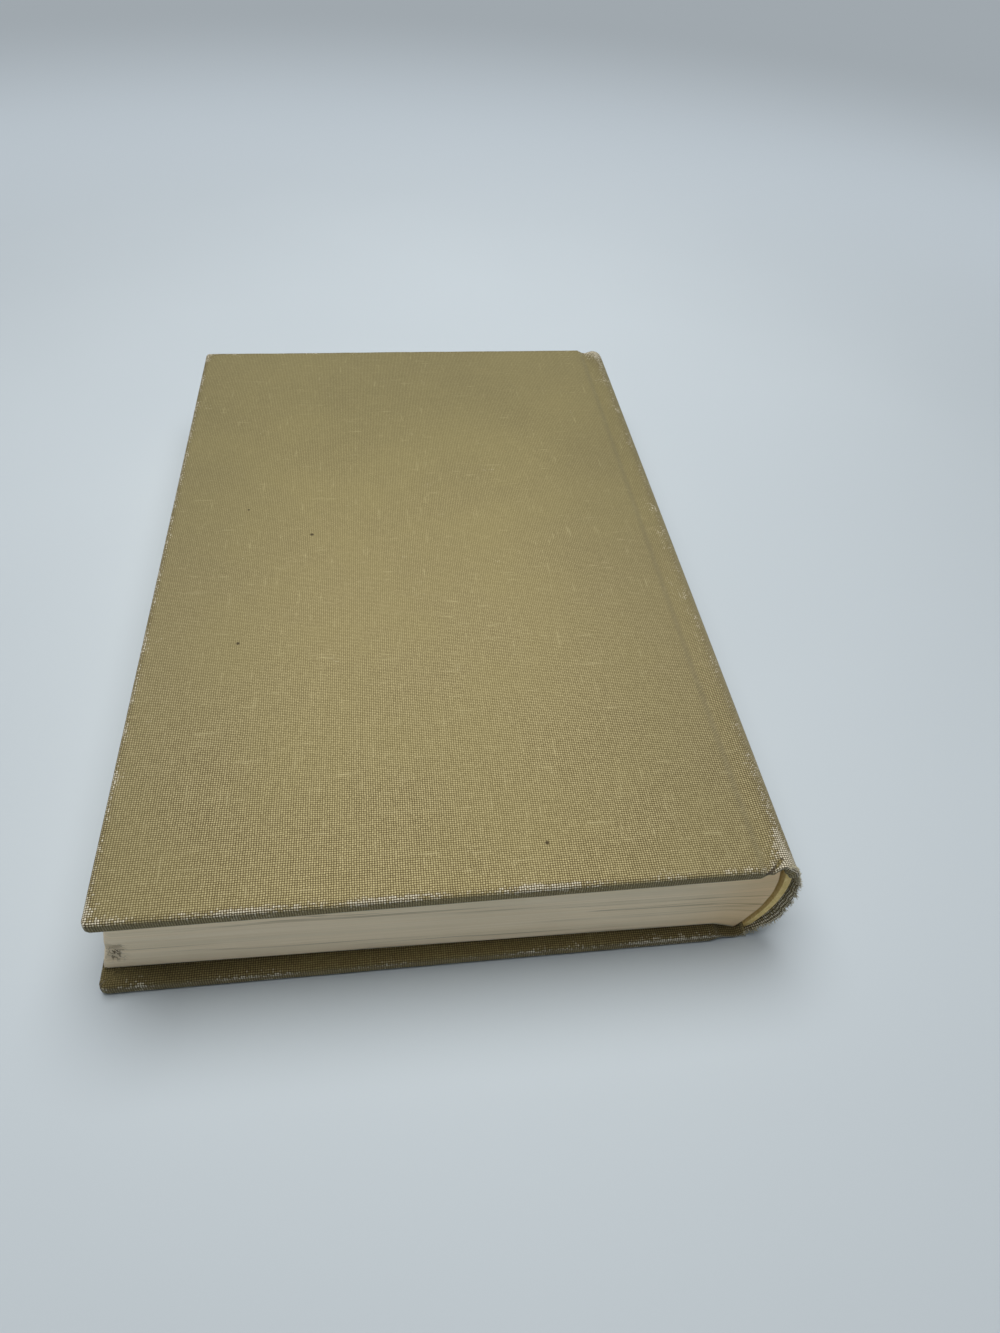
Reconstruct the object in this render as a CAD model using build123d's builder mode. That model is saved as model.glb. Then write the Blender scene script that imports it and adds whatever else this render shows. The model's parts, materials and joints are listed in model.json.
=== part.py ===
from build123d import *

import os
from math import asin, atan2, cos, degrees, hypot, radians, sin

# Case-bound book lying on its front cover, back cover up, tail end towards -Y.
# Millimetres, +Z up, spine towards +X. The origin is under the middle of the book.

# Text block: the sewn, rounded and trimmed leaves
leaf_width = 135.8
leaf_height = 210.5
block_thickness = 22.5
spine_round = 3.3          # how far the rounded back swells past its two shoulders
fore_hollow = 0.3          # how far the fore-edge is hollowed between its two corners
tail_skew = 0.73           # degrees that the tail trim runs out of square

# Covers: board, cloth and the squares that they stand proud of the leaves
board_thickness = 2.6
cloth_thickness = 0.4
fore_square = 1.5
head_square = 3.0
tail_square = 2.5
turn_in = 15.0             # cloth folded over on to the inside of a board
board_edge_radius = 0.5
cloth_edge_radius = 0.9
corner_radius = 1.1

# Joints: the shallow groove between board and spine where a cover turns
joint_width = 4.9          # board edge to the tip of the shoulder
hinge_setback = 2.05       # board edge to the hinge line
hinge_gap = 0.3            # between the cloth of the cover and that of the spine
edge_roll = 0.8            # where the cloth starts to dip before the board edge
groove_depth = 1.1
ridge_drop = 0.4           # top of the shoulder ridge below the cover's face
ramp_gap = 0.5             # board edge to the foot of the shoulder

# Set of an old book that has been read slanted
lean = 4.05                # the front cover sits this far towards the fore-edge
joint_slack = 1.05         # share of the lean that the front joint takes up

# Spine
shoulder_roll = 4.0        # radius of the cloth where the spine turns on to its ridge
inlay_thickness = 1.5
inlay_setback = 0.3        # upper edge of the inlay short of where the cloth starts to turn
inlay_roll = 40.0          # degrees that its lower edge turns with the cloth
inlay_wear = 2.0           # card crumbled away at the tail of the inlay
hollow_gap = 0.3           # between the lined back and the folded-in cloth
tail_wear = 0.8            # cloth worn away at the tail of the spine

# Papers, mull and the room between layers
paper_thickness = 0.2
pastedown_margin = 5.0
mull_thickness = 0.3
mull_flap = 28.0
mull_margin = 18.0         # mull stops short of the head and tail of the leaves
lining_thickness = 0.2
lining_margin = 6.0
leaf_gap = 0.15            # air between a pastedown and its free endpaper
shoulder_gap = 0.3         # between the mull on the shoulder and the cloth above it
glue_line = 0.05
endpaper_setback = 0.3     # endpaper stops short of the shoulder tip
flap_setback = 0.4         # mull on the shoulder stops short of the hinge line

# Heights of the layers, from the underside of the front cover
cover_thickness = board_thickness + 2 * cloth_thickness
block_bottom = cover_thickness + 2 * paper_thickness + leaf_gap
block_top = block_bottom + block_thickness
case_thickness = block_top + block_bottom
middle_z = case_thickness / 2

# Lengths along the spine
case_height = leaf_height + head_square + tail_square
board_height = case_height - 2 * cloth_thickness
head_y = case_height / 2 - head_square
tail_y = tail_square - case_height / 2

# The rounded back is an arc through both shoulder tips, tipped over by the lean
block_lean = lean - joint_slack
ridge_layers = cloth_thickness + shoulder_gap + mull_thickness + paper_thickness
shoulder_top = case_thickness - ridge_drop - ridge_layers
half_back = shoulder_top - middle_z
lean_angle = atan2(block_lean / 2, half_back)
half_chord = hypot(block_lean / 2, half_back)
back_radius = (half_chord**2 + spine_round**2) / (2 * spine_round)
lining_radius = back_radius + mull_thickness + lining_thickness + 2 * glue_line
inlay_radius = lining_radius + hollow_gap + cloth_thickness + glue_line
spine_radius = inlay_radius + inlay_thickness + glue_line + cloth_thickness

# Places across the book
centre_reach = (back_radius - spine_round) * cos(lean_angle) + block_lean / 2
case_width = lean + fore_square + leaf_width - centre_reach + spine_radius
front_fore_x = -case_width / 2
back_fore_x = front_fore_x + lean
top_leaf_x = back_fore_x + fore_square
bottom_leaf_x = front_fore_x + fore_square
top_tip_x = top_leaf_x + leaf_width
bottom_tip_x = top_tip_x - block_lean
back_edge_x = top_tip_x - joint_width
front_edge_x = back_edge_x - lean
board_width = back_edge_x - back_fore_x - cloth_thickness
arc_x = top_tip_x - centre_reach
arc_z = middle_z + (back_radius - spine_round) * sin(lean_angle)

# Directions of the shoulder tips, seen from the arc's centre
top_angle = degrees(atan2(shoulder_top - arc_z, top_tip_x - arc_x))
bottom_angle = degrees(atan2(case_thickness - shoulder_top - arc_z, bottom_tip_x - arc_x))

# The cloth rolls from the back's arc on to a level ridge above each shoulder
roll_reach = spine_radius - shoulder_roll
top_roll_z = case_thickness - ridge_drop - shoulder_roll
bottom_roll_z = ridge_drop + shoulder_roll
top_roll_angle = degrees(asin((top_roll_z - arc_z) / roll_reach))
bottom_roll_angle = degrees(asin((bottom_roll_z - arc_z) / roll_reach))
inlay_sweep = degrees(inlay_setback / spine_radius)
inlay_top_angle = top_roll_angle - inlay_sweep
inlay_bottom_angle = bottom_roll_angle + inlay_sweep

# Outer faces of the two covers: X from the fore-edge, Z outwards
back_face = Plane((back_fore_x, 0, case_thickness), x_dir=(1, 0, 0), z_dir=(0, 0, 1))
front_face = Plane((front_fore_x, 0, 0), x_dir=(1, 0, 0), z_dir=(0, 0, -1))
# The tail trim keeps what lies beyond it, towards the head
skew = radians(tail_skew)
tail_trim = Plane((top_tip_x, tail_y, 0), z_dir=(sin(skew), cos(skew), 0))


def back_point(angle, radius):
    """Point of the rounded back's section at an angle in degrees and a radius."""
    turn = radians(angle)
    return (arc_x + radius * cos(turn), arc_z + radius * sin(turn))


def across(y):
    """Section plane across the spine at y; extruding it goes towards the tail."""
    return Plane.XZ.offset(-y)


def back_band(y, inner_radius, outer_radius, low_angle, high_angle):
    """Section at y of one layer that follows the rounded back."""
    middle_angle = (low_angle + high_angle) / 2
    with BuildSketch(across(y)) as band:
        with BuildLine():
            outer = ThreePointArc(
                back_point(low_angle, outer_radius),
                back_point(middle_angle, outer_radius),
                back_point(high_angle, outer_radius),
            )
            inner = ThreePointArc(
                back_point(low_angle, inner_radius),
                back_point(middle_angle, inner_radius),
                back_point(high_angle, inner_radius),
            )
            Line(outer @ 0, inner @ 0)
            Line(outer @ 1, inner @ 1)
        make_face()
    return band.sketch


def rolled_band(y, inner_radius, outer_radius):
    """Section at y of one layer of the spine, its lower edge turned towards the front joint."""
    middle_angle = (bottom_roll_angle + inlay_top_angle) / 2
    centre = back_point(bottom_roll_angle, roll_reach)
    with BuildSketch(across(y)) as band:
        with BuildLine():
            ends = []
            for radius in (inner_radius, outer_radius):
                back = ThreePointArc(
                    back_point(inlay_top_angle, radius),
                    back_point(middle_angle, radius),
                    back_point(bottom_roll_angle, radius),
                )
                roll = CenterArc(centre, radius - roll_reach, bottom_roll_angle, -inlay_roll)
                ends.append((back @ 0, roll @ 1))
            (inner_top, inner_low), (outer_top, outer_low) = ends
            Line(inner_top, outer_top)
            Line(inner_low, outer_low)
        make_face()
    return band.sketch


def shoulder_ramp(cover_edge_x, tip_x, tip_z, face_z, raised):
    """Foot and tip of a shoulder's slope, raised by the layers that lie on it."""
    outward = 1 if tip_z > face_z else -1
    foot = (cover_edge_x + ramp_gap, face_z + outward * raised)
    tip = (tip_x, tip_z + outward * raised)
    return foot, tip


def ramp_point(foot, tip, x):
    """Point of a shoulder's slope at x."""
    share = (x - foot[0]) / (tip[0] - foot[0])
    return (x, foot[1] + share * (tip[1] - foot[1]))


# Shoulders, as cover edge, tip and the block face that they rise from
back_shoulder = (back_edge_x, top_tip_x, shoulder_top, block_top)
front_shoulder = (front_edge_x, bottom_tip_x, case_thickness - shoulder_top, block_bottom)


def make_text_block():
    """Leaves as one solid: rounded back with shoulders, hollowed fore-edge, skewed tail."""
    top_foot, top_tip = shoulder_ramp(*back_shoulder, raised=0)
    bottom_foot, bottom_tip = shoulder_ramp(*front_shoulder, raised=0)
    top_corner = (top_leaf_x, block_top)
    bottom_corner = (bottom_leaf_x, block_bottom)
    middle_angle = -degrees(lean_angle)
    back_middle = back_point(middle_angle, back_radius)
    fore_middle = ((top_leaf_x + bottom_leaf_x) / 2 + fore_hollow, middle_z)
    with BuildPart() as block:
        with BuildSketch(across(head_y)):
            with BuildLine():
                Polyline(top_corner, top_foot, top_tip)
                ThreePointArc(top_tip, back_middle, bottom_tip)
                Polyline(bottom_tip, bottom_foot, bottom_corner)
                ThreePointArc(bottom_corner, fore_middle, top_corner)
            make_face()
        extrude(amount=leaf_height)
        split(bisect_by=tail_trim, keep=Keep.TOP)
    return block.part


def make_free_endpaper(shoulder, fore_x):
    """Loose half of an endpaper: a leaf on the block, lifted over the shoulder."""
    face_z = shoulder[3]
    under_foot, under_tip = shoulder_ramp(*shoulder, raised=0)
    over_foot, over_tip = shoulder_ramp(*shoulder, raised=paper_thickness)
    end_x = under_tip[0] - endpaper_setback
    with BuildPart() as sheet:
        with BuildSketch(across(head_y)):
            with BuildLine():
                Polyline(
                    (fore_x, face_z),
                    under_foot,
                    ramp_point(under_foot, under_tip, end_x),
                    ramp_point(over_foot, over_tip, end_x),
                    over_foot,
                    (fore_x, over_foot[1]),
                    close=True,
                )
            make_face()
        extrude(amount=leaf_height)
        split(bisect_by=tail_trim, keep=Keep.TOP)
    return sheet.part


def mull_turn(y, shoulder, angle):
    """Section at y of the mull where it turns from the back on to a shoulder."""
    foot, tip = shoulder_ramp(*shoulder, raised=paper_thickness + glue_line)
    over_foot, over_tip = shoulder_ramp(*shoulder, raised=paper_thickness + glue_line + mull_thickness)
    near_hinge_x = shoulder[0] + hinge_setback + hinge_gap / 2 + flap_setback
    with BuildSketch(across(y)) as turn:
        with BuildLine():
            Polyline(
                ramp_point(foot, tip, near_hinge_x),
                ramp_point(foot, tip, tip[0] - endpaper_setback + glue_line),
                back_point(angle, back_radius + glue_line),
                back_point(angle, back_radius + glue_line + mull_thickness),
                over_tip,
                ramp_point(over_foot, over_tip, near_hinge_x),
                close=True,
            )
        make_face()
    return turn.sketch


def make_spine_mull():
    """Open cloth glued to the back and turned over both shoulders."""
    inner_radius = back_radius + glue_line
    start_y = head_y - mull_margin
    length = leaf_height - 2 * mull_margin
    with BuildPart() as mull:
        extrude(
            back_band(start_y, inner_radius, inner_radius + mull_thickness, bottom_angle, top_angle),
            amount=length,
        )
        extrude(mull_turn(start_y, back_shoulder, top_angle), amount=length)
        extrude(mull_turn(start_y, front_shoulder, bottom_angle), amount=length)
    return mull.part


def make_spine_lining():
    """Paper strip over the mull, inside the hollow of the spine."""
    start_y = head_y - lining_margin
    inner_radius = lining_radius - lining_thickness
    spread = (inlay_bottom_angle, inlay_top_angle)
    with BuildPart() as lining:
        extrude(
            back_band(start_y, inner_radius, lining_radius, *spread),
            amount=leaf_height - 2 * lining_margin,
        )
    return lining.part


def make_spine_inlay():
    """Curved card that stiffens the spine, bare and crumbled at its tail end."""
    outer_radius = inlay_radius + inlay_thickness
    with BuildPart() as inlay:
        extrude(rolled_band(board_height / 2, inlay_radius, outer_radius), amount=board_height - inlay_wear)
    return inlay.part


def level_step(start, end):
    """Two arcs that leave start level, reach end level and meet halfway."""
    halfway = ((start[0] + end[0]) / 2, (start[1] + end[1]) / 2)
    along = (1, 0) if end[0] > start[0] else (-1, 0)
    leaving = TangentArc(start, halfway, tangent=along)
    TangentArc(halfway, end, tangent=leaving % 1)


def spine_cloth_section(y):
    """Section at y of the spine cloth: groove, ridge, round of the back, ridge, groove."""
    top_hinge_x = back_edge_x + hinge_setback + hinge_gap / 2
    bottom_hinge_x = front_edge_x + hinge_setback + hinge_gap / 2
    middle_angle = (top_roll_angle + bottom_roll_angle) / 2
    top_ridge_x, _ = back_point(top_roll_angle, roll_reach)
    bottom_ridge_x, _ = back_point(bottom_roll_angle, roll_reach)
    top_ends = []
    bottom_ends = []
    with BuildSketch(across(y)) as section:
        with BuildLine():
            for inset in (0, cloth_thickness):
                radius = spine_radius - inset
                top_groove = (top_hinge_x, case_thickness - groove_depth - inset)
                top_ridge = (top_ridge_x, case_thickness - ridge_drop - inset)
                bottom_ridge = (bottom_ridge_x, ridge_drop + inset)
                bottom_groove = (bottom_hinge_x, groove_depth + inset)
                round_start = back_point(top_roll_angle, radius)
                round_end = back_point(bottom_roll_angle, radius)
                level_step(top_groove, top_ridge)
                TangentArc(top_ridge, round_start, tangent=(1, 0))
                ThreePointArc(round_start, back_point(middle_angle, radius), round_end)
                TangentArc(bottom_ridge, round_end, tangent=(1, 0))
                level_step(bottom_ridge, bottom_groove)
                top_ends.append(top_groove)
                bottom_ends.append(bottom_groove)
            Line(*top_ends)
            Line(*bottom_ends)
        make_face()
    return section.sketch


def make_spine_cloth():
    """Cloth over the spine and into both grooves, folded in at the head, worn off at the tail."""
    inlay_head = board_height / 2
    fold_radius = inlay_radius - glue_line - cloth_thickness
    head = case_height / 2
    with BuildPart() as cloth:
        extrude(spine_cloth_section(head), amount=case_height - cloth_thickness - tail_wear)
        extrude(rolled_band(head, fold_radius, spine_radius), amount=head - inlay_head - glue_line)
        extrude(rolled_band(head, fold_radius, fold_radius + cloth_thickness), amount=turn_in)
    return cloth.part


def draw_slab(x_from, x_to, height, mode=Mode.ADD):
    """Rectangle on a cover's face, centred along the spine."""
    with Locations(((x_from + x_to) / 2, 0)):
        Rectangle(x_to - x_from, height, mode=mode)


def make_board(face):
    """Binder's board with its edges eased."""
    with BuildPart() as board:
        with BuildSketch(face.offset(-cloth_thickness)):
            draw_slab(cloth_thickness, cloth_thickness + board_width, board_height)
        extrude(amount=-board_thickness)
        fillet(board.edges(), board_edge_radius)
    return board.part


def joint_cloth_section(y, face, depth):
    """Section at y of one layer of cloth that rolls off the board into the groove."""
    fore_x = face.origin.X
    outward = face.z_dir.Z
    roll_x = fore_x + cloth_thickness + board_width - edge_roll
    hinge_x = fore_x + cloth_thickness + board_width + hinge_setback - hinge_gap / 2
    flat_z = face.origin.Z - outward * depth
    groove_z = flat_z - outward * groove_depth
    under = outward * cloth_thickness
    with BuildSketch(across(y)) as section:
        with BuildLine():
            level_step((roll_x, flat_z), (hinge_x, groove_z))
            level_step((roll_x, flat_z - under), (hinge_x, groove_z - under))
            Line((roll_x, flat_z), (roll_x, flat_z - under))
            Line((hinge_x, groove_z), (hinge_x, groove_z - under))
        make_face()
    return section.sketch


def make_cover_cloth(face, board):
    """Cloth of one cover, wrapped round three board edges and rolled into the groove."""
    outwards = Axis(face.origin, face.z_dir)
    skin_end = cloth_thickness + board_width - edge_roll
    with BuildPart() as cloth:
        with BuildSketch(face):
            draw_slab(0, skin_end, case_height)
        extrude(amount=-cover_thickness)
        fillet(cloth.edges().filter_by(Axis.Z).sort_by(Axis.X)[:2], corner_radius)
        for side in (cloth.faces().sort_by(outwards)[-1], cloth.faces().sort_by(outwards)[0]):
            fillet(side.edges().sort_by(Axis.X)[:-1], cloth_edge_radius)
        extrude(joint_cloth_section(case_height / 2, face, 0), amount=case_height)
        for fold_y in (case_height / 2, turn_in - case_height / 2):
            extrude(joint_cloth_section(fold_y, face, cloth_thickness), amount=turn_in)
        add(board, mode=Mode.SUBTRACT)
        with BuildSketch(face.offset(-cover_thickness)):
            draw_slab(turn_in, skin_end, case_height - 2 * turn_in)
        extrude(amount=cloth_thickness, mode=Mode.SUBTRACT)
    return cloth.part


def make_mull_flap(face):
    """Free edge of the mull, glued to the inside of a board."""
    board_end = cloth_thickness + board_width - edge_roll
    with BuildPart() as flap:
        with BuildSketch(face.offset(-cloth_thickness - board_thickness)):
            draw_slab(board_end - mull_flap, board_end, leaf_height - 2 * mull_margin)
        extrude(amount=-mull_thickness)
    return flap.part


def make_pastedown(face):
    """Glued half of an endpaper, stepped down from the folded-in cloth and over the mull."""
    inside = face.offset(-cloth_thickness - board_thickness)
    board_end = cloth_thickness + board_width - edge_roll
    sheet_height = case_height - 2 * pastedown_margin
    well_height = case_height - 2 * turn_in
    flap_height = leaf_height - 2 * mull_margin
    flap_from = board_end - mull_flap
    with BuildPart() as sheet:
        with BuildSketch(inside):
            draw_slab(pastedown_margin, board_end, sheet_height)
        extrude(amount=-cloth_thickness - paper_thickness)
        with BuildSketch(inside.offset(-cloth_thickness - paper_thickness)):
            draw_slab(turn_in + paper_thickness, board_end, well_height - 2 * paper_thickness)
        extrude(amount=cloth_thickness, mode=Mode.SUBTRACT)
        with BuildSketch(inside):
            draw_slab(flap_from - paper_thickness, board_end, flap_height + 2 * paper_thickness)
        extrude(amount=-mull_thickness - paper_thickness)
        with BuildSketch(inside):
            draw_slab(flap_from, board_end, flap_height)
        extrude(amount=-mull_thickness, mode=Mode.SUBTRACT)
        with BuildSketch(inside):
            draw_slab(0, board_end, case_height)
            draw_slab(turn_in, board_end, well_height, mode=Mode.SUBTRACT)
        extrude(amount=-cloth_thickness, mode=Mode.SUBTRACT)
    return sheet.part


pieces = {
    "text_block": make_text_block(),
    "back_free_endpaper": make_free_endpaper(back_shoulder, top_leaf_x),
    "front_free_endpaper": make_free_endpaper(front_shoulder, bottom_leaf_x),
    "spine_mull": make_spine_mull(),
    "spine_lining": make_spine_lining(),
    "spine_inlay": make_spine_inlay(),
    "spine_cloth": make_spine_cloth(),
}
for side, face in (("back", back_face), ("front", front_face)):
    board = make_board(face)
    pieces[f"{side}_board"] = board
    pieces[f"{side}_cover_cloth"] = make_cover_cloth(face, board)
    pieces[f"{side}_mull_flap"] = make_mull_flap(face)
    pieces[f"{side}_pastedown"] = make_pastedown(face)

os.makedirs("parts", exist_ok=True)
for node, solid in pieces.items():
    solid.label = node
    export_step(solid, f"parts/{node}.step")

hinge_x = {"back_hinge": back_edge_x + hinge_setback, "front_hinge": front_edge_x + hinge_setback}
for hinge, x in hinge_x.items():
    print(f"{hinge} x {x:.3f}")
print(f"case {case_width:.2f} x {case_height:.2f} x {case_thickness:.2f}, board width {board_width:.2f}")
print(f"back radius {back_radius:.2f}, shoulder rise {shoulder_top - block_top:.2f}")
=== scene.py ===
import json
import math
import random
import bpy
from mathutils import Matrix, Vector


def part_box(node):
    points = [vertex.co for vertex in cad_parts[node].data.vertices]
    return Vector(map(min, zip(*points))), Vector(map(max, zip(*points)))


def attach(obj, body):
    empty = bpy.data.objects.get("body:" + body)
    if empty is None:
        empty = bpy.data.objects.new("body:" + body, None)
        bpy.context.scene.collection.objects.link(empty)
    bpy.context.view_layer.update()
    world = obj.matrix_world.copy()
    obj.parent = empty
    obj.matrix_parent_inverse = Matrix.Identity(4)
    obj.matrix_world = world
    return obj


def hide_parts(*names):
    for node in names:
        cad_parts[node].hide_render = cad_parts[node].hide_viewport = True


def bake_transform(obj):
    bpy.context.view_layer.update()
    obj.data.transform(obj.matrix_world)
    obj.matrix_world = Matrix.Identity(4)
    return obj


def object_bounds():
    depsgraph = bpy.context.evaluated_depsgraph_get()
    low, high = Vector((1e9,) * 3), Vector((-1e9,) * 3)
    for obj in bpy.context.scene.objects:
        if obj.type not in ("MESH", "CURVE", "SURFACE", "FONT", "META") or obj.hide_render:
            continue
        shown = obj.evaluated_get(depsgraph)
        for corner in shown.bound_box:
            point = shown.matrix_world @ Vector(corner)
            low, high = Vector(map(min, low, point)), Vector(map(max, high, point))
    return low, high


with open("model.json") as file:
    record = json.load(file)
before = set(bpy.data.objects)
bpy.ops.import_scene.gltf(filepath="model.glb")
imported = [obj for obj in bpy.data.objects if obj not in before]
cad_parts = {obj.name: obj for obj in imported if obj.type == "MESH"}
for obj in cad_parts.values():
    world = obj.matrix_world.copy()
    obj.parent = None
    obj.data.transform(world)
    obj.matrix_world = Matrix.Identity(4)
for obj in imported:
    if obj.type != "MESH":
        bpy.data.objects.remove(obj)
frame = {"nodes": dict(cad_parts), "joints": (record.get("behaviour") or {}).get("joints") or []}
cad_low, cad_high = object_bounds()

from types import SimpleNamespace

import bmesh
import bpy
from mathutils import Matrix, Vector, noise

# Worn cloth-bound book, lying on its front cover with the back cover up.
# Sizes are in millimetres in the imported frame: +X to the spine, +Y to the head, +Z up.
MM = 0.001
scene = bpy.context.scene

# Case cloth
cloth_thickness = 0.4
edge_radius = 0.9          # cloth where it turns over a board edge
corner_radius = 1.2        # bumped corner, seen from above
turn_in = 15.0
edge_roll = 0.8            # cloth starts to dip this far before the board edge
groove_depth = 1.1
ridge_drop = 0.4           # ridge of the shoulder below the cover's face
ridge_roll = 4.0           # radius where the spine turns on to its ridge
joint_fold = 1.0           # two layers of cloth at the ends of a joint
head_cap = 2.4             # cloth, card and cloth at the head of the spine
tail_wear = 0.4            # spine cloth lost at the tail
tail_flare = 1.3           # how far the frayed end stands off the spine
tail_sag = 1.4             # how much further it hangs off the spine's lower half
thread_pitch = 0.5
slit_start = (68.3, -105.3)   # crack across the tail end of the back joint
slit_end = (64.6, -108.4)
slit_depth = 0.6
slit_curl = 0.45           # cloth beyond the crack stands up this far
crack_start = (-17.7, -105.2, 0.0)   # the same crack as a painted shadow line on the cloth
crack_end = (-21.8, -108.3, 0.0)
specks = (                 # dark specks on the back cover: place on the cloth and radius
    (-116.2, 5.3, 0.70),
    (-132.7, -35.9, 0.60),
    (-134.2, 17.4, 0.45),
    (-65.8, -97.5, 0.60),
)
raw_from = {"back": 20.0, "front": 40.0}   # degrees on the back's arc where the tail is no longer folded in
tail_rubs = {              # rubbed stretches of each cover's tail edge: middle, half length and strength
    "back": ((-38.0, 10.0, 0.42), (-11.0, 8.0, 0.46), (20.0, 8.0, 0.50)),
    "front": (
        (-66.0, 4.0, 0.35),
        (-40.0, 9.0, 0.55),
        (-12.0, 7.0, 0.35),
        (20.0, 9.0, 0.40),
        (46.0, 9.0, 0.70),
        (60.0, 8.0, 1.00),
    ),
}
inner_rub = {"back": 0.3, "front": 0.95}   # wear of the fold on the inside of each cover's edge
fore_edge_wear = 0.46
end_edge_wear = 0.34
corner_wear = 0.42
ridge_wear = 0.34
ridge_tail_wear = 0.52     # added to the ridge's wear at its two ends
ridge_head_wear = 0.30
joint_tail_wear = 0.7
joint_head_wear = 0.6
spine_end_wear = 0.75
edge_shade_reach = 50.0       # painted shade, darker this far in from the edges
edge_shade_head_share = 0.48  # and about twice as far in from the head
cover_waviness = 0.10
fold_waviness = 0.06
column_step = 2.6          # grid of the cloth across and along the book
row_step = 2.7
edge_lines = (0, 0.35, 0.8, 1.4, 2.2, 3.4, 5.0)   # closer grid lines at the edges of the cloth
roll_lines = (0, 0.6, 1.4, 2.6)   # and before it dips into the groove
paper_blend_reach = 1.2

# Rounded back, as the arc that its section follows
back_arc_x = 39.985
back_arc_z = 18.13
back_radius = 30.02
back_top_angle = 20.82
back_bottom_angle = -33.41
seam_angle = -6.0          # the two halves of the case cloth meet here

# Leaves
fore_square = 1.5          # covers stand this far past the leaves
fore_hollow = 0.3          # fore-edge hollowed between its two corners
shoulder_foot = 0.5        # board edge to the foot of the shoulder
tail_skew = 0.73           # degrees
paper_thickness = 0.2
pastedown_margin = 5.0
mull_thickness = 0.3
mull_flap = 28.0
mull_margin = 18.0
joint_strip_lift = 0.62    # hinge strip of an endpaper above the shoulder, over mull and leaf
dent_radius = 2.0          # knocked corner of the leaves
bruise_from_fore = 2.2     # middle of the bruise on the tail, from the fore-edge
bruise_depth = 0.7
leaf_slip = 0.7            # lower leaves pushed out near that corner
trim_waviness = 0.13       # unevenness of the trimmed ends, in long and in short waves
trim_roughness = 0.06
fore_waviness = 0.16
browned_reach = 13.0       # leaves browner this far from the spine
leaf_cuts = (84, 60, 62)   # across, along and through the block
paper_waviness = 0.02
paper_step = 3.0           # grid of a pastedown
step_lines = (0, 1.0, 4.0, 8.5, 9.2, 9.7, 10.2, 10.7, 11.4)   # closer lines where it steps off a turn-in
inner_joint_lines = (0, 0.5, 1.0, 1.6, 2.2, 2.8, 3.6, 4.6)

# Frayed threads
thread_seed = 23
back_threads = 190
front_threads = 170
thread_length = (0.5, 1.4)     # shortest and longest
thread_radius = (0.08, 0.16)

# Floor, flat and then swept up behind the book
floor_half_width = 2200
floor_front = -1500
floor_back = 1700
floor_gap = 0.02
sweep_start = 900
sweep_length = 900

# Camera of the photograph: place in millimetres, turn in degrees
camera_place = (-7.673, -191.938, 186.839)
camera_turn = (42.965, -2.774, -6.52)
camera_lens = 23.881


def box_mm(node):
    """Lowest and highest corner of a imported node."""
    low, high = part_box(node)
    return low / MM, high / MM


def smooth(share):
    """Eased share, level at both ends."""
    share = min(1.0, max(0.0, share))
    return share * share * (3 - 2 * share)


def between(start, end, share):
    return start + (end - start) * share


def faded(distance, reach):
    """Falls from 1 at no distance towards 0 past the reach."""
    return math.exp(-distance / reach)


def hump(distance, half_width):
    """1 in the middle, falling off evenly to both sides."""
    return math.exp(-((distance / half_width) ** 2))


def ripple(x, y, z, size):
    """Soft unevenness between about -1 and 1, with lumps of the given size."""
    return noise.noise(Vector((x, y, z)) / size)


def cover_side(name, joint_name, outward):
    """Places of one cover that its cloth, papers and joint are worked out from."""
    cloth_low, cloth_high = box_mm(f"{name}_cover_cloth")
    _, board_high = box_mm(f"{name}_board")
    joint = next(j for j in frame["joints"] if j["name"] == joint_name)
    face_z = cloth_high.z if outward > 0 else cloth_low.z
    ridge_centre_z = face_z - outward * (ridge_drop + ridge_roll)
    spine_radius = cad_high.x / MM - back_arc_x
    touch_angle = math.asin((ridge_centre_z - back_arc_z) / (spine_radius - ridge_roll))
    return SimpleNamespace(
        name=name,
        body=f"{name}_cover",
        outward=outward,
        face_z=face_z,
        cover_thickness=cloth_high.z - cloth_low.z,
        fore_x=cloth_low.x,
        edge_x=board_high.x,
        hinge_x=joint["pos_m"][0] / MM,
        ridge_x=back_arc_x + (spine_radius - ridge_roll) * math.cos(touch_angle),
        ridge_centre_z=ridge_centre_z,
        touch_angle=touch_angle,
        spine_radius=spine_radius,
    )


back_side = cover_side("back", "back_hinge", 1)
front_side = cover_side("front", "front_hinge", -1)
case_low, case_high = box_mm("back_cover_cloth")
case_tail = case_low.y
case_head = case_high.y
block_low, block_high = box_mm("text_block")
leaf_bottom = box_mm("front_free_endpaper")[1].z
leaf_top = box_mm("back_free_endpaper")[0].z


# Node helpers


def add_node(tree, kind, **settings):
    node = tree.nodes.new(kind)
    for name, value in settings.items():
        setattr(node, name, value)
    return node


def feed(tree, socket, value):
    """Links a socket to another one, or sets it to a plain value."""
    if isinstance(value, bpy.types.NodeSocket):
        tree.links.new(value, socket)
    else:
        socket.default_value = value


def feed_all(tree, node, values):
    """Feeds a node's sockets in their order."""
    for socket, value in zip(node.inputs, values):
        feed(tree, socket, value)


def calc(tree, operation, *values):
    """Math node; its values are sockets or numbers."""
    node = add_node(tree, "ShaderNodeMath", operation=operation)
    feed_all(tree, node, values)
    return node.outputs[0]


def vector_calc(tree, operation, *values):
    node = add_node(tree, "ShaderNodeVectorMath", operation=operation)
    feed_all(tree, node, values)
    gives_number = operation in ("DISTANCE", "LENGTH", "DOT_PRODUCT")
    return node.outputs["Value" if gives_number else "Vector"]


def joined(tree, *parts):
    """Place put together from its parts along x, y and z."""
    node = add_node(tree, "ShaderNodeCombineXYZ")
    feed_all(tree, node, parts)
    return node.outputs[0]


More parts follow.
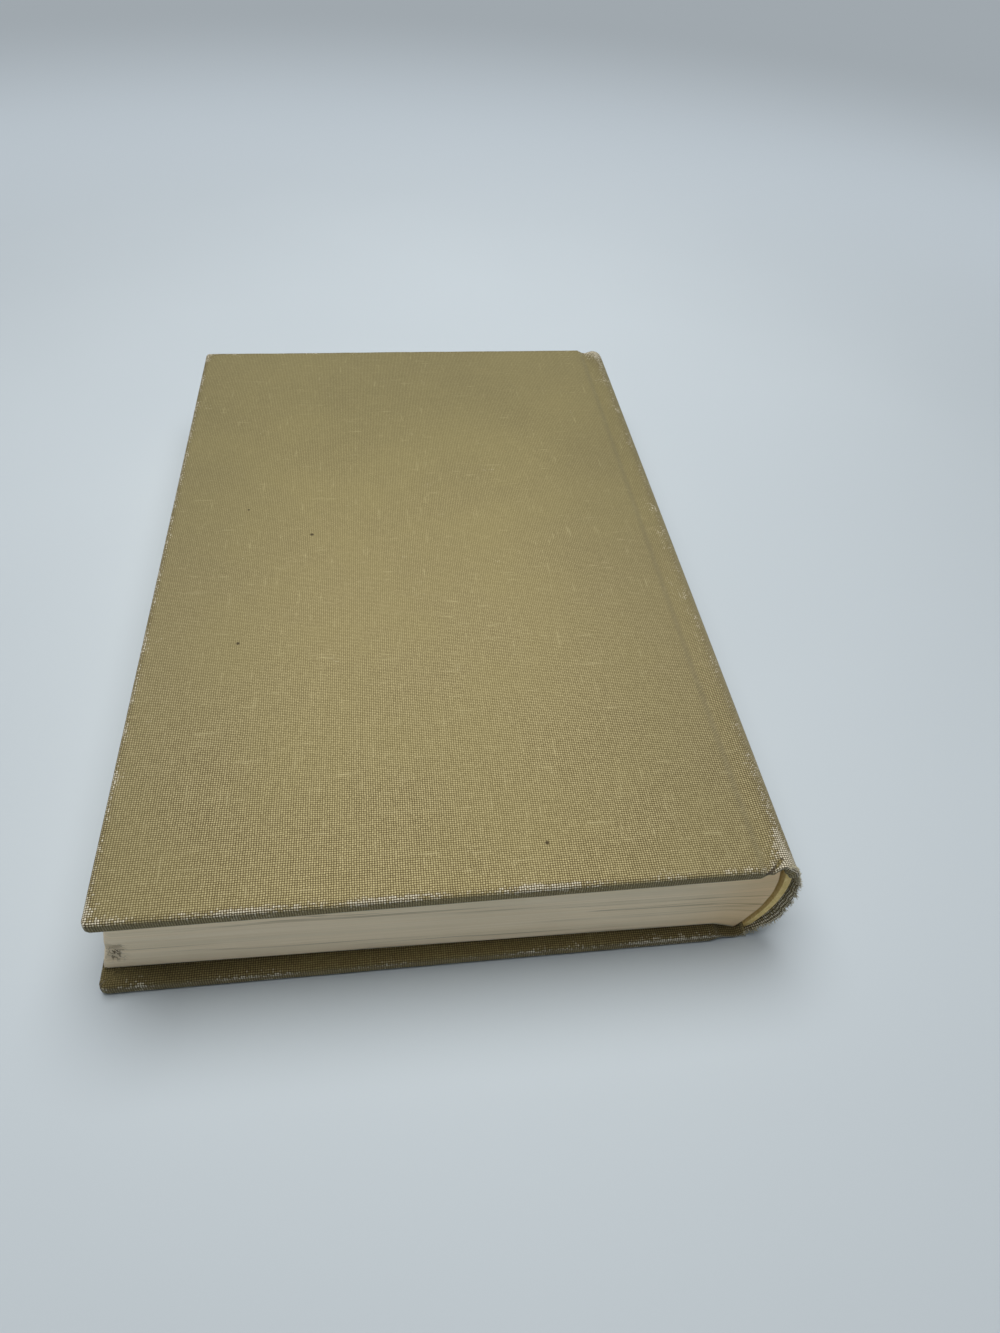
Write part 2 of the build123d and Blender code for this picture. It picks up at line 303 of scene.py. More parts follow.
def distance_to_line(tree, place, start, end):
    """Distance of a place from a straight line with two ends."""
    line = end - start
    away = vector_calc(tree, "SUBTRACT", place, start)
    share = calc(tree, "DIVIDE", vector_calc(tree, "DOT_PRODUCT", away, line), line.length_squared)
    share = calc(tree, "MINIMUM", calc(tree, "MAXIMUM", share, 0.0), 1.0)
    reached = joined(tree, *(calc(tree, "MULTIPLY_ADD", share, line[i], start[i]) for i in range(3)))
    return vector_calc(tree, "DISTANCE", place, reached)


def remap(tree, value, low, high, to_low=0.0, to_high=1.0):
    """Smooth step of a value from one range to another."""
    node = add_node(tree, "ShaderNodeMapRange", interpolation_type="SMOOTHSTEP")
    feed_all(tree, node, (value, low, high, to_low, to_high))
    return node.outputs[0]


def blotches(tree, place, scale, detail, roughness=0.55):
    """Fractal noise around 0.5 with the given number of lumps per unit of place."""
    node = add_node(tree, "ShaderNodeTexNoise")
    feed(tree, node.inputs["Vector"], place)
    node.inputs["Scale"].default_value = scale
    node.inputs["Detail"].default_value = detail
    node.inputs["Roughness"].default_value = roughness
    return node.outputs["Fac"]


def stretched(tree, place, scale):
    """Place multiplied by a scale for each axis."""
    return vector_calc(tree, "MULTIPLY", place, scale)


def blend_colour(tree, share, first, second, kind="MIX"):
    node = add_node(tree, "ShaderNodeMix", data_type="RGBA", blend_type=kind)
    share_in, first_in, second_in = (s for s in node.inputs if s.enabled)
    feed(tree, share_in, share)
    feed(tree, first_in, first)
    feed(tree, second_in, second)
    return next(s for s in node.outputs if s.enabled)


def tinted(tree, base, mask, strength, tint):
    """Colour mixed towards a tint where a mask is on."""
    return blend_colour(tree, calc(tree, "MULTIPLY", mask, strength), base, tint)


def colour(red, green, blue):
    """Colour written as on a screen, 0 to 255, as Blender's linear light."""
    def linear(level):
        level = level / 255
        return level / 12.92 if level <= 0.04045 else ((level + 0.055) / 1.055) ** 2.4
    return (linear(red), linear(green), linear(blue), 1.0)


def attribute(tree, name, output="Fac"):
    """One of the piece's own attributes."""
    return add_node(tree, "ShaderNodeAttribute", attribute_name=name).outputs[output]


def object_place(tree):
    return add_node(tree, "ShaderNodeTexCoord").outputs["Object"]


def new_group(name, inputs, outputs):
    """Empty shader group with named sockets, and its input and output nodes."""
    group = bpy.data.node_groups.new(name, "ShaderNodeTree")
    for socket_name, kind, value in inputs:
        socket = group.interface.new_socket(socket_name, in_out="INPUT", socket_type=f"NodeSocket{kind}")
        if value is not None:
            socket.default_value = value
    for socket_name, kind in outputs:
        group.interface.new_socket(socket_name, in_out="OUTPUT", socket_type=f"NodeSocket{kind}")
    return group, group.nodes.new("NodeGroupInput"), group.nodes.new("NodeGroupOutput")


def place_group(tree, group, **values):
    node = add_node(tree, "ShaderNodeGroup", node_tree=group)
    for name, value in values.items():
        feed(tree, node.inputs[name], value)
    return node


def new_material(name):
    """Empty material with its Principled BSDF wired to the output."""
    material = bpy.data.materials.new(name)
    material.use_nodes = True
    tree = material.node_tree
    tree.nodes.clear()
    surface = tree.nodes.new("ShaderNodeBsdfPrincipled")
    output = tree.nodes.new("ShaderNodeOutputMaterial")
    tree.links.new(surface.outputs["BSDF"], output.inputs["Surface"])
    return material, tree, surface


def dress_surface(tree, surface, tint, roughness, gloss=0.5):
    feed(tree, surface.inputs["Base Color"], tint)
    feed(tree, surface.inputs["Roughness"], roughness)
    surface.inputs["Specular IOR Level"].default_value = gloss


def add_bump(tree, surface, height, distance, strength):
    bump = add_node(tree, "ShaderNodeBump")
    bump.inputs["Distance"].default_value = distance
    bump.inputs["Strength"].default_value = strength
    feed(tree, bump.inputs["Height"], height)
    tree.links.new(bump.outputs["Normal"], surface.inputs["Normal"])


# Colours of the cloth
# painted shade in the hollows of the weave
weave_hollow_shade = colour(84, 72, 41)
thread_crown = colour(177, 164, 118)
pale_thread_tint = colour(182, 170, 126)
glint_tint = colour(218, 207, 164)
pressed_tint = colour(143, 131, 93)    # mean of the weave's colours
slub_tint = colour(204, 194, 150)
# painted shade towards the head
head_shade_tint = colour(232, 234, 224)
mottle_tint = colour(146, 136, 90)
speck_tint = colour(56, 44, 22)
# painted shade towards the cover's edges and head
edge_shade_tint = colour(234, 235, 238)
# unfaded cloth and painted shade on the turn-ins and lower edge walls
unfaded_and_shade_tint = colour(192, 187, 168)
soil_tint = colour(70, 58, 34)
rubbed_tint = colour(214, 208, 188)
crack_shadow_tint = colour(50, 40, 22)

# Colours of the leaves
leaf_dark = colour(238, 219, 186)
leaf_light = colour(250, 234, 206)
section_tint = colour(210, 199, 170)
section_gap_shade_tint = colour(138, 124, 94)
stain_tint = colour(182, 170, 138)
bruise_tint = colour(72, 58, 36)
browned_shade = colour(243, 231, 213)

# Colours of the broken threads
thread_dark = colour(112, 106, 80)
thread_light = colour(166, 160, 130)
thread_tip = colour(196, 192, 174)

# Colours of the light, the room and the ground round the book
lamp_tint = (1.0, 0.985, 0.955)
room_glow = (0.60, 0.62, 0.64, 1.0)
room_dark = (0.03, 0.033, 0.036, 1.0)
sheet_dark = colour(186, 196, 204)
sheet_light = colour(190, 200, 208)
near_ground = colour(191, 201, 209)
far_ground = colour(160, 168, 174)


# Shared effects


def make_weave_group():
    """Plain weave: height of the threads, tone and slubs of each, and a shade for each crossing."""
    group, source, result = new_group(
        "plain_weave",
        (("Place", "Vector", None), ("Pitch", "Float", thread_pitch)),
        (("Height", "Float"), ("Tone", "Float"), ("Slub", "Float"), ("Crossing", "Float")),
    )
    place = source.outputs["Place"]
    drift = blotches(group, place, 0.05, 2.0)
    wander = blotches(group, place, 0.4, 2.0)
    parts = add_node(group, "ShaderNodeSeparateXYZ")
    group.links.new(place, parts.inputs[0])
    threads = []
    for axis, sway, fullness in (("X", 0.9, 0.65), ("Y", 0.7, 1.0)):
        count = calc(group, "DIVIDE", parts.outputs[axis], source.outputs["Pitch"])
        swayed = calc(group, "MULTIPLY_ADD", drift, sway, count)
        swayed = calc(group, "MULTIPLY_ADD", wander, 0.6, swayed)
        number = calc(group, "FLOOR", swayed)
        round_crown = calc(group, "SINE", calc(group, "MULTIPLY", calc(group, "FRACT", swayed), math.pi))
        crown = calc(group, "POWER", round_crown, fullness)
        threads.append((swayed, number, crown))
    (warp, warp_number, warp_crown), (weft, weft_number, weft_crown) = threads
    floats = []
    for number, crossing, crown, lift in (
        (warp_number, weft, warp_crown, 0.42),
        (weft_number, warp, weft_crown, -0.42),
    ):
        phase = calc(group, "ADD", calc(group, "SUBTRACT", crossing, 0.5), number)
        swing = calc(group, "COSINE", calc(group, "MULTIPLY", phase, math.pi))
        floats.append(calc(group, "MULTIPLY", crown, calc(group, "MULTIPLY_ADD", swing, lift, 0.58)))
    group.links.new(calc(group, "MAXIMUM", *floats), result.inputs["Height"])
    warp_on_top = calc(group, "GREATER_THAN", *floats)
    tones = []
    for number, along, seed in ((warp_number, weft, 3.7), (weft_number, warp, 9.1)):
        spot = joined(group, calc(group, "MULTIPLY", number, seed), calc(group, "MULTIPLY", along, 0.06))
        tones.append(blotches(group, spot, 1.0, 2.0))
    tone_gap = calc(group, "SUBTRACT", tones[0], tones[1])
    group.links.new(calc(group, "MULTIPLY_ADD", tone_gap, warp_on_top, tones[1]), result.inputs["Tone"])
    crossing = add_node(group, "ShaderNodeTexWhiteNoise", noise_dimensions="2D")
    group.links.new(joined(group, warp_number, weft_number), crossing.inputs["Vector"])
    group.links.new(crossing.outputs["Value"], result.inputs["Crossing"])
    thickest = calc(group, "MAXIMUM", *tones)
    group.links.new(remap(group, thickest, 0.62, 0.78), result.inputs["Slub"])
    return group


def make_rub_group():
    """Rubbed cloth: crowns of the threads worn pale in patches, and soil left between them."""
    group, source, result = new_group(
        "rubbed_threads",
        (
            ("Place", "Vector", None),
            ("Wear", "Float", 0.0),
            ("Height", "Float", 0.5),
            ("Speckle", "Float", 0.5),
        ),
        (("Rubbed", "Float"), ("Soiled", "Float")),
    )
    wear = source.outputs["Wear"]
    patches = blotches(group, source.outputs["Place"], 0.13, 5.0, 0.62)
    patches = calc(group, "MULTIPLY", patches, 1.3)
    ragged = calc(group, "MULTIPLY_ADD", source.outputs["Speckle"], 0.5, patches)
    reach = remap(group, calc(group, "ADD", wear, ragged), 1.25, 1.75)
    crowns = remap(group, source.outputs["Height"], 0.5, 0.85)
    group.links.new(calc(group, "MULTIPLY", reach, crowns), result.inputs["Rubbed"])
    hollows = calc(group, "SUBTRACT", 1.0, crowns)
    group.links.new(calc(group, "MULTIPLY", remap(group, wear, 0.05, 0.6), hollows), result.inputs["Soiled"])
    return group


def make_fibre_group():
    """Paper fibres and foxing: a fine grain and a few large soft stains."""
    group, source, result = new_group(
        "paper_fibres",
        (("Place", "Vector", None),),
        (("Grain", "Float"), ("Stain", "Float")),
    )
    place = source.outputs["Place"]
    fine = blotches(group, place, 2600.0, 3.0)
    coarse = blotches(group, stretched(group, place, (1.0, 0.25, 1.0)), 700.0, 4.0)
    grain = calc(group, "MULTIPLY_ADD", fine, 0.6, calc(group, "MULTIPLY", coarse, 0.4))
    group.links.new(grain, result.inputs["Grain"])
    group.links.new(remap(group, blotches(group, place, 22.0, 4.0), 0.45, 0.75), result.inputs["Stain"])
    return group


weave_group = make_weave_group()
rub_group = make_rub_group()
fibre_group = make_fibre_group()


# Materials


def make_bookcloth():
    """Khaki plain-weave bookcloth with slubs, faint mottling, specks and rubbed edges."""
    material, tree, surface = new_material("khaki_bookcloth")
    place = attribute(tree, "cloth_place", "Vector")
    wear = attribute(tree, "wear")
    weave = place_group(tree, weave_group, Place=place)
    height = weave.outputs["Height"]
    crossing = weave.outputs["Crossing"]
    rub = place_group(tree, rub_group, Place=place, Wear=wear, Height=height, Speckle=crossing)
    unfaded_and_shade = attribute(tree, "inside")
    edge_shade = attribute(tree, "edge_shade")

    # painted shade: the weave darker in the hollows between its thread crowns
    valley = remap(tree, calc(tree, "MULTIPLY_ADD", crossing, 0.12, height), 0.40, 1.0)
    cloth = blend_colour(tree, valley, weave_hollow_shade, thread_crown)
    pale_thread = remap(tree, weave.outputs["Tone"], 0.45, 0.78)
    cloth = tinted(tree, cloth, pale_thread, 0.20, pale_thread_tint)
    glint = calc(tree, "MULTIPLY", remap(tree, crossing, 0.1, 1.0, 0.3, 1.0), remap(tree, height, 0.78, 0.97))
    cloth = tinted(tree, cloth, glint, 0.42, glint_tint)
    lengthwise = vector_calc(tree, "DOT_PRODUCT", place, (0.0, 1.0, 0.0))
    pressed = remap(tree, lengthwise, -90.0, -20.0, 0.0, 0.45)   # weave pressed flatter away from the tail
    cloth = blend_colour(tree, pressed, cloth, pressed_tint)
    cloth = tinted(tree, cloth, weave.outputs["Slub"], 0.20, slub_tint)
    head_shade = remap(tree, lengthwise, -70.0, 80.0)   # painted shade: a little darker towards the head
    cloth = blend_colour(tree, head_shade, cloth, head_shade_tint, "MULTIPLY")
    mottle = remap(tree, blotches(tree, place, 0.035, 4.0), 0.35, 0.68)
    cloth = tinted(tree, cloth, mottle, 0.22, mottle_tint)
    for along, across, radius in specks:
        away = vector_calc(tree, "DISTANCE", place, (along, across, 0.0))
        cloth = blend_colour(tree, remap(tree, away, 0.4 * radius, radius, 0.9, 0.0), cloth, speck_tint)
    # painted shadow along the crack
    from_crack = distance_to_line(tree, place, Vector(crack_start), Vector(crack_end))
    crack_shadow = remap(tree, from_crack, 0.15, 0.5, 0.9, 0.0)
    # painted shade: darker towards the edges and the head
    cloth = blend_colour(tree, edge_shade, cloth, edge_shade_tint, "MULTIPLY")
    # darker turn-ins and edge walls: unfaded cloth and painted shade
    cloth = blend_colour(tree, unfaded_and_shade, cloth, unfaded_and_shade_tint, "MULTIPLY")
    cloth = tinted(tree, cloth, rub.outputs["Soiled"], 0.85, soil_tint)
    cloth = blend_colour(tree, rub.outputs["Rubbed"], cloth, rubbed_tint)
    cloth = blend_colour(tree, crack_shadow, cloth, crack_shadow_tint)
    dress_surface(tree, surface, cloth, remap(tree, height, 0.0, 1.0, 0.95, 0.78), 0.25)
    surface.inputs["Sheen Weight"].default_value = 0.08
    surface.inputs["Sheen Roughness"].default_value = 0.6
    relief = calc(tree, "MULTIPLY", height, calc(tree, "SUBTRACT", 1.0, pressed))
    add_bump(tree, surface, relief, 0.12 * MM, 0.8)
    return material


def make_page_edges():
    """Trimmed leaf edges: fine leaf lines, painted shade in the openings between sections, and a bruised
    corner with painted shade along its creases.
    """
    material, tree, surface = new_material("page_edges")
    leaf = attribute(tree, "leaf_place", "Vector")
    bruise = attribute(tree, "bruise")
    browned = attribute(tree, "browned")
    fibres = place_group(tree, fibre_group, Place=object_place(tree))
    leaf_lines = blotches(tree, stretched(tree, leaf, (0.012, 4.0, 0.0)), 1.0, 3.0, 0.7)
    sections = blotches(tree, stretched(tree, leaf, (0.006, 0.34, 0.0)), 1.0, 3.0, 0.5)
    from_line = calc(tree, "ABSOLUTE", calc(tree, "SUBTRACT", sections, 0.5))
    broken = remap(tree, blotches(tree, stretched(tree, leaf, (0.014, 0.15, 0.0)), 1.0, 2.0), 0.42, 0.60)
    # painted shade in the openings between sections of leaves
    section_gap_shade = calc(tree, "MULTIPLY", remap(tree, from_line, 0.002, 0.022, 1.0, 0.0), broken)
    swell = remap(tree, sections, 0.35, 0.65)
    paper = blend_colour(tree, remap(tree, leaf_lines, 0.3, 0.7), leaf_dark, leaf_light)
    paper = tinted(tree, paper, swell, 0.30, section_tint)
    paper = tinted(tree, paper, section_gap_shade, 0.5, section_gap_shade_tint)
    paper = tinted(tree, paper, fibres.outputs["Stain"], 0.18, stain_tint)
    # painted shade: the bruised corner drawn darker, darkest along its creases
    crumple = blotches(tree, leaf, 0.55, 2.0)
    crease = remap(tree, calc(tree, "ABSOLUTE", calc(tree, "SUBTRACT", crumple, 0.5)), 0.01, 0.07, 1.0, 0.0)
    bruise_darkening = calc(tree, "MULTIPLY", bruise, calc(tree, "MULTIPLY_ADD", crease, 0.75, 0.25))
    paper = blend_colour(tree, bruise_darkening, paper, bruise_tint)
    paper = blend_colour(tree, browned, paper, browned_shade, "MULTIPLY")
    dress_surface(tree, surface, paper, remap(tree, leaf_lines, 0.2, 0.8, 0.92, 0.8), 0.2)
    add_bump(tree, surface, calc(tree, "SUBTRACT", leaf_lines, section_gap_shade), 0.08 * MM, 0.6)
    return material


def make_paper(name, light, dark, stain):
    """Uncoated paper or card with fibres and soft age stains, on Object coordinates."""
    material, tree, surface = new_material(name)
    fibres = place_group(tree, fibre_group, Place=object_place(tree))
    grain = fibres.outputs["Grain"]
    paper = blend_colour(tree, remap(tree, grain, 0.35, 0.65), dark, light)
    paper = tinted(tree, paper, fibres.outputs["Stain"], 0.3, stain)
    dress_surface(tree, surface, paper, remap(tree, grain, 0.3, 0.7, 0.95, 0.8), 0.2)
    add_bump(tree, surface, grain, 0.05 * MM, 0.5)
    return material


def make_gauze(name, thread_colour, gap_colour, pitch):
    """Open woven gauze on Object coordinates, for the mull."""
    material, tree, surface = new_material(name)
    place = stretched(tree, object_place(tree), (1 / MM,) * 3)
    height = place_group(tree, weave_group, Place=place, Pitch=pitch).outputs["Height"]
    cloth = blend_colour(tree, remap(tree, height, 0.3, 0.7), gap_colour, thread_colour)
    dress_surface(tree, surface, cloth, remap(tree, height, 0.0, 1.0, 0.95, 0.8))
    add_bump(tree, surface, height, 0.15 * MM, 0.8)
    return material


def make_thread_material():
    """Broken thread ends: khaki at the root, bleached towards the tip."""
    material, tree, surface = new_material("broken_threads")
    tip = attribute(tree, "tip")
    place = object_place(tree)
    shade = blotches(tree, place, 900.0, 2.0)
    thread = blend_colour(tree, remap(tree, shade, 0.35, 0.65), thread_dark, thread_light)
    thread = tinted(tree, thread, tip, 0.7, thread_tip)
    dress_surface(tree, surface, thread, remap(tree, shade, 0.3, 0.7, 0.95, 0.8))
    return material


def seen_ground(tree):
    """1 where the ground itself is looked at or mirrored, 0 for the light that it gives."""
    path = add_node(tree, "ShaderNodeLightPath")
    mirrored = calc(tree, "MAXIMUM", path.outputs["Is Glossy Ray"], path.outputs["Is Transmission Ray"])
    return calc(tree, "MAXIMUM", path.outputs["Is Camera Ray"], mirrored)


def make_floor_material():
    """Plain pale sheet that runs out into an even pale ground away from the book."""
    material, tree, surface = new_material("pale_sheet")
    place = object_place(tree)
    shade = blotches(tree, place, 3.0, 3.0)
    sheet = blend_colour(tree, remap(tree, shade, 0.3, 0.7), sheet_dark, sheet_light)
    dress_surface(tree, surface, sheet, 0.8)
    away = vector_calc(tree, "LENGTH", place)
    ground = add_node(tree, "ShaderNodeEmission")
    ground_tint = blend_colour(tree, remap(tree, away, 0.37, 0.8), near_ground, far_ground)
    feed(tree, ground.inputs["Color"], ground_tint)
    runs_out = add_node(tree, "ShaderNodeMixShader")
    share = calc(tree, "MULTIPLY", seen_ground(tree), remap(tree, away, 0.22, 0.55))
    feed(tree, runs_out.inputs[0], share)
    output = surface.outputs["BSDF"].links[0].to_node
    tree.links.new(surface.outputs["BSDF"], runs_out.inputs[1])
    tree.links.new(ground.outputs[0], runs_out.inputs[2])
    tree.links.new(runs_out.outputs[0], output.inputs["Surface"])
    material.cycles.emission_sampling = "NONE"
    return material


bookcloth = make_bookcloth()
page_edges = make_page_edges()
endpaper = make_paper("endpaper", colour(222, 214, 192), colour(206, 197, 172), colour(190, 172, 132))
spine_card = make_paper("straw_card", colour(242, 218, 154), colour(220, 194, 126), colour(186, 152, 84))
grey_board = make_paper("pressed_board", colour(160, 150, 130), colour(128, 118, 98), colour(110, 98, 76))
brown_paper = make_paper("brown_paper", colour(168, 136, 94), colour(140, 110, 72), colour(112, 84, 52))
gauze = make_gauze("starched_gauze", colour(206, 198, 172), colour(120, 108, 82), 1.0)
broken_threads = make_thread_material()


# Mesh helpers


def finish_piece(bm, name, material, sharp_angle=None):
    """Turns a bmesh in millimetres into a linked object in metres."""
    bmesh.ops.scale(bm, vec=(MM, MM, MM), verts=bm.verts)
    mesh = bpy.data.meshes.new(name)
    bm.to_mesh(mesh)
    bm.free()
    for polygon in mesh.polygons:
        polygon.use_smooth = True
    if sharp_angle is not None:
        mesh.set_sharp_from_angle(angle=math.radians(sharp_angle))
    mesh.materials.append(material)
    piece = bpy.data.objects.new(name, mesh)
    scene.collection.objects.link(piece)
    return piece


def add_wall(piece, thickness):
    """Gives a sheet its thickness, on the side away from its normals."""
    wall = piece.modifiers.new("thickness", "SOLIDIFY")
    wall.thickness = thickness * MM
    wall.offset = -1.0


def bend_at_joint(piece):
    """Bakes a sheet's placing into its mesh points."""
    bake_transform(piece)


def extruded(bm, edges):
    """Extrudes edges where they are, and gives the new edges and their points."""
    made = bmesh.ops.extrude_edge_only(bm, edges=edges)["geom"]
    new_edges = [e for e in made if isinstance(e, bmesh.types.BMEdge)]
    return new_edges, [v for v in made if isinstance(v, bmesh.types.BMVert)]


def crowded(start, end, step, near_start, near_end):
    """Grid lines from start to end: some at set distances from the ends, the rest evenly spaced."""
    first = [start + d for d in near_start]
    last = [end - d for d in reversed(near_end)]
    count = max(1, round((last[0] - first[-1]) / step))
    middle = [between(first[-1], last[0], i / count) for i in range(count + 1)]
    return first[:-1] + middle + last[1:]


# Case cloth


def half_section(side):
    """Columns of the cloth's outer line, from the fore-edge over the joint to the spine's seam."""
    groove_z = side.face_z - side.outward * groove_depth
    ridge_z = side.face_z - side.outward * ridge_drop
    points = []
    roll_x = side.edge_x - edge_roll
    for x in crowded(side.fore_x + edge_radius, roll_x, column_step, edge_lines, roll_lines):
        points.append((x, side.face_z, side.cover_thickness, False))
    for start_x, start_z, end_x, end_z in (
        (roll_x, side.face_z, side.hinge_x, groove_z),
        (side.hinge_x, groove_z, side.ridge_x, ridge_z),
    ):
        for i in range(1, 9):
            x = between(start_x, end_x, i / 8)
            z = between(start_z, end_z, smooth(i / 8))
            board_depth = side.cover_thickness - abs(side.face_z - z)
            depth = between(board_depth, joint_fold, smooth((x - side.edge_x - 0.15) / 2.2))
            points.append((x, z, depth, False))
    level = math.radians(90) * side.outward
    for i in range(1, 11):
        angle = between(level, side.touch_angle, i / 10)
        x = side.ridge_x + ridge_roll * math.cos(angle)
        z = side.ridge_centre_z + ridge_roll * math.sin(angle)
        raw = side.outward < 0 and i > 2
        points.append((x, z, between(joint_fold, head_cap, smooth(i / 4)), raw))
    for i in range(1, 15):
        angle = between(side.touch_angle, math.radians(seam_angle), i / 14)
        x = back_arc_x + side.spine_radius * math.cos(angle)
        z = back_arc_z + side.spine_radius * math.sin(angle)
        points.append((x, z, head_cap, side.outward * math.degrees(angle) < raw_from[side.name]))
    columns = []
    run = 0.0
    for i, (x, z, depth, raw) in enumerate(points):
        before = points[max(0, i - 1)]
        after = points[min(len(points) - 1, i + 1)]
        along = Vector((after[0] - before[0], 0, after[1] - before[1])).normalized()
        out = Vector((-along.z, 0, along.x)) * side.outward
        run += math.hypot(x - before[0], z - before[1])
        columns.append(SimpleNamespace(x=x, z=z, out=out, run=run, depth=depth, raw=raw))
    length = columns[-1].run
    ridge_run = next(c.run for c in columns if c.x >= side.ridge_x - 0.001)
    for column in columns:
        column.inward = -column.out if column.x > side.ridge_x else Vector((0, 0, -side.outward))
        column.from_ridge = column.run - ridge_run
        column.run = (column.run - length) * side.outward
        column.spine = smooth(column.from_ridge / 3.0 + 0.5)
    return columns


def eased_corner(away):
    """Moves a point of a square corner on to its round, measured from the round's centre."""
    if away.x == 0 or away.y == 0:
        return away
    return away * (max(abs(away.x), abs(away.y)) / away.length)


def rounded_corner(side, x, y):
    """Eases a square corner of a cover to its bumped round."""
    centre_x = side.fore_x + corner_radius
    centre_y = case_head - corner_radius
    away = Vector((min(0.0, x - centre_x), max(0.0, abs(y) - centre_y)))
    if away.x == 0 or away.y == 0:
        return x, y
    eased = eased_corner(away)
    return centre_x + eased.x, math.copysign(centre_y + eased.y, y)


def edge_wear(side, x, y, spine):
    """How rubbed the cloth's outer face is at a point, from 0 to 1."""
    to_fore = max(0.0, x - side.fore_x - edge_radius)
    to_end = max(0.0, case_head - edge_radius - abs(y))
    from_tail = max(0.0, y - case_tail - edge_radius)
    from_head = max(0.0, case_head - edge_radius - y)
    edge = max(fore_edge_wear * faded(to_fore, 0.9), end_edge_wear * faded(to_end, 0.8) * (1 - spine))
    corner = corner_wear * faded(math.hypot(to_fore, to_end), 3.2)
    rubs = sum(share * hump(x - middle, half) for middle, half, share in tail_rubs[side.name])
    rubs *= faded(from_tail, 0.55)
    ridge_ends = ridge_tail_wear * faded(from_tail, 20.0) + ridge_head_wear * faded(from_head, 14.0)
    ridge = faded(abs(x - side.ridge_x - 1.2), 2.2) * (ridge_wear + ridge_ends)
    joint_ends = joint_tail_wear * faded(from_tail, 1.6) + joint_head_wear * faded(from_head, 5.0)
    joint_ends *= hump(x - side.ridge_x + 1.0, 2.6)
    spine_end = spine_end_wear * spine * (faded(from_tail, 3.5) + faded(case_head - y, 3.0))
    return min(1.0, edge + corner + rubs + ridge + joint_ends + spine_end)


def split_joint(side, x, y):
    """Crack across the tail end of the back joint, with the cloth curled up beyond it."""
    if side.outward < 0:
        return 0.0
    start = Vector(slit_start)
    along = Vector(slit_end) - start
    away = Vector((x, y)) - start
    share = away.dot(along) / along.length_squared
    beside = along.cross(away) / along.length
    here = smooth(share * 4 + 0.5) * smooth((1.3 - share) * 4)
    return here * (slit_curl * hump(beside - 1.0, 0.7) - slit_depth * hump(beside, 0.4))


# Steps of the cloth round a board edge: reach past the flat face, quarter rounds turned, share of the wall
edge_steps = []
for i in range(1, 6):
    turn = math.radians(18 * i)
    edge_steps.append((edge_radius * math.sin(turn), 1 - math.cos(turn), 0.0))
for share in (0.33, 0.67, 1.0):
    edge_steps.append((edge_radius, 1.0, share))
for i in range(1, 6):
    turn = math.radians(18 * i)
    edge_steps.append((edge_radius * math.cos(turn), 1 + math.sin(turn), 1.0))
for inset in (1.5, 4.0, 9.0, turn_in - edge_radius):
    edge_steps.append((-inset, 2.0, 1.0))


def wrap_depth(column, rounds, wall):
    """Depth below the face after some quarter rounds and a share of the straight wall."""
    radius = min(edge_radius, column.depth / 2.2)
    return radius * rounds + (column.depth - 2 * radius) * wall


def frayed_end(column):
    """Cloth worn off the tail of the spine, and how far the rest stands off there."""
    worn = column.spine * tail_wear * (1 + ripple(column.run, 0, 0, 1.3))
    uneven = 0.85 + 0.5 * ripple(column.run, 7.0, 0, 2.0)
    flare = smooth((column.from_ridge - 4.0) / 8.0) * tail_flare * uneven
    sag = tail_sag * hump(column.run - 8.0, 5.0) * smooth((column.from_ridge - 1.0) / 5.0)
    return worn, flare + sag


def above_table(point):
    """Keeps the lower cover's cloth off the surface that it lies on."""
    return Vector((point.x, point.y, max(0.0, point.z)))


def make_case_half(side):
    """Case cloth of one cover, its joint and its half of the spine, with head and tail folded in."""
    columns = half_section(side)
    rows = crowded(case_tail + edge_radius, case_head - edge_radius, row_step, edge_lines, edge_lines)
    last_column = len(columns) - 1
    last_row = len(rows) - 1
    bm = bmesh.new()
    layers = SimpleNamespace(
        place=bm.verts.layers.float_vector.new("cloth_place"),
        wear=bm.verts.layers.float.new("wear"),
        inside=bm.verts.layers.float.new("inside"),
        edge_shade=bm.verts.layers.float.new("edge_shade"),
    )
    bmesh.ops.create_grid(bm, x_segments=last_column, y_segments=last_row, size=1.0)
    roots = {}
    for vert in bm.verts:
        i = round((vert.co.x + 1) / 2 * last_column)
        j = round((vert.co.y + 1) / 2 * last_row)
        column = columns[i]
        worn, flare = frayed_end(column)
        from_tail = rows[j] - rows[0]
        y = rows[j] + worn * faded(from_tail, 3.0)
        lift = flare * faded(from_tail, 2.0)
        lift += cover_waviness * ripple(column.x, y, side.outward * 40, 45) * (1 - column.spine)
        lift += split_joint(side, column.x, y)
        # painted shade: the cloth darker towards its edges and its head
        from_head = (case_head - y) * edge_shade_head_share
        from_edge = min(column.x - side.fore_x, side.ridge_x - column.x, from_head)
        roots[vert] = SimpleNamespace(
            column=column,
            y=y,
            lift=lift,
            edge_shade=1 - smooth(from_edge / edge_shade_reach),
            at_fore=i == 0,
            end=-1 if j == 0 else 1 if j == last_row else 0,
        )
        x, y = rounded_corner(side, column.x, y)
        vert.co = above_table(Vector((x, y, column.z)) + column.out * lift)
        vert[layers.place] = (column.run, y, 0)
        vert[layers.wear] = edge_wear(side, column.x, y, column.spine)
        vert[layers.edge_shade] = roots[vert].edge_shade
    wrap_board_edges(bm, side, roots, layers)
    if side.outward < 0:
        bmesh.ops.reverse_faces(bm, faces=bm.faces)
    piece = finish_piece(bm, f"{side.name}_case_cloth", bookcloth)
    add_wall(piece, cloth_thickness)
    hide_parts(f"{side.name}_cover_cloth", "spine_cloth")
    bend_at_joint(piece)


def is_wrapped(edge, roots):
    """True for the edges at head, tail and fore-edge that fold in; the tail of the spine is left raw."""
    if not edge.is_boundary:
        return False
    first, second = (roots[v] for v in edge.verts)
    if first.at_fore and second.at_fore:
        return True
    if first.end != second.end or first.end == 0:
        return False
    return first.end > 0 or not (first.column.raw and second.column.raw)


